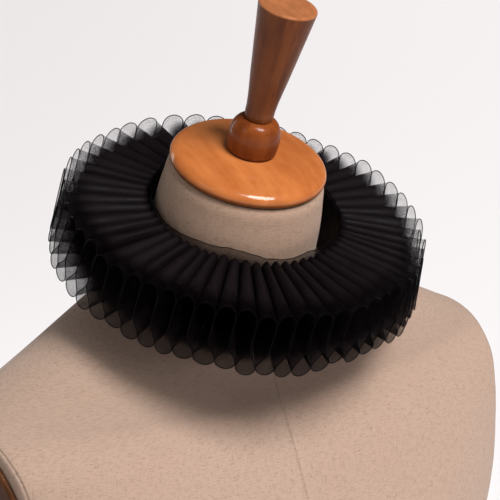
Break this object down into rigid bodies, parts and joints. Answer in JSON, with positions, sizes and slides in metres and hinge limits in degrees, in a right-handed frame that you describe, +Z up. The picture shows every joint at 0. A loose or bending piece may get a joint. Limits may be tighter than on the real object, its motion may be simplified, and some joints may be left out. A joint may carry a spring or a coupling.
{
  "type": "pleated ruff collar on a limbless dress form",
  "caption": "Black sheer ruff collar of figure-eight pleats on a standing neckband, worn by a linen-covered dress form with a wooden neck cap and turned handle.",
  "frame": {"origin": "on the form's flat underside, straight below the middle of the neck at the level of the ruff's top", "axes": "+Z up, the form faces -Y, and its left side is +X"},
  "size_m": [0.4238, 0.2597, 0.8139],
  "materials": {
    "organza_black": "sheer, faint sheen",
    "band_organza": "sheer",
    "form_linen": "matte plain weave",
    "cap_wood": "gloss varnish",
    "knob_wood": "gloss varnish",
    "grip_wood": "gloss varnish",
    "plate_wood": "satin varnish",
    "hook_metal": "black lacquer"
  },
  "bodies": {
    "root": {"ruffle_strip": "organza_black", "neckband": "band_organza", "hook_upper": "hook_metal", "hook_lower": "hook_metal", "eye_upper": "hook_metal", "eye_lower": "hook_metal", "form_torso": "form_linen", "armhole_plate_left": "plate_wood", "armhole_plate_right": "plate_wood", "neck_cap": "cap_wood", "handle_knob": "knob_wood", "handle_grip": "grip_wood"}
  },
  "joints": []
}
